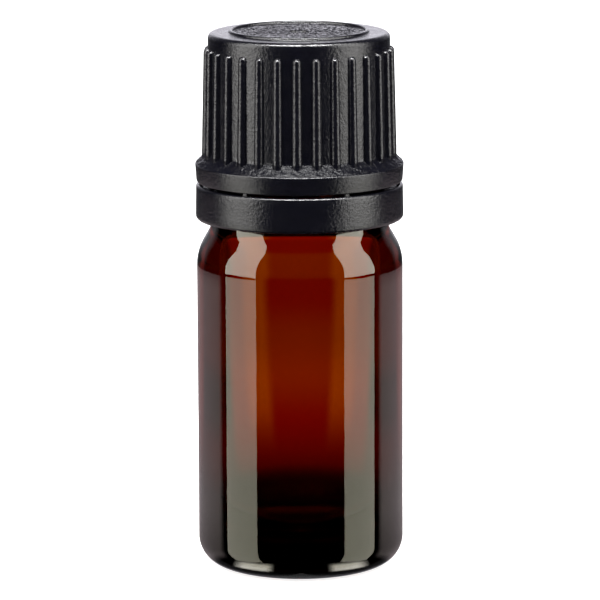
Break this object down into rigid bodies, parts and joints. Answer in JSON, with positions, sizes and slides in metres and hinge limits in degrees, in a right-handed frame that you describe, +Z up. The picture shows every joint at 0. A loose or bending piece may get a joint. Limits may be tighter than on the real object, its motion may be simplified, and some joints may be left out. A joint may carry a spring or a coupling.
{
  "type": "dropper bottle",
  "caption": "Small amber glass bottle with a pressed-in drip insert, a ribbed black screw cap and a tamper ring that stays on the neck.",
  "frame": {"origin": "centre of the base, on the surface that the bottle stands on", "axes": "+Z up along the bottle's axis, towards the cap; -Y faces the camera of the picture"},
  "size_m": [0.0222, 0.0222, 0.0578],
  "materials": {
    "amber_glass": "clear dark amber, polished",
    "natural_polyethylene": "milky, slightly translucent",
    "black_polypropylene": "black satin with a fine spark texture on the top disc and the flare"
  },
  "bodies": {
    "bottle": {"glass_bottle": "amber_glass", "dropper_insert": "natural_polyethylene"},
    "tamper_band": {"tamper_ring": "black_polypropylene", "tear_bridges": "black_polypropylene"},
    "cap": {"screw_cap": "black_polypropylene"}
  },
  "joints": [
    {"name": "closure_turn", "type": "hinge", "parent": "bottle", "child": "tamper_band", "pos_m": [0, 0, 0.0397], "axis": [0, 0, 1], "range_deg": [0, 1800]},
    {"name": "cap_lift", "type": "slide", "parent": "tamper_band", "child": "cap", "axis": [0, 0, 1], "range_m": [0, 0.015]}
  ],
  "couplings": [
    {"joint": "cap_lift", "follows": "closure_turn", "m_per_rad": 0.00047746}
  ]
}
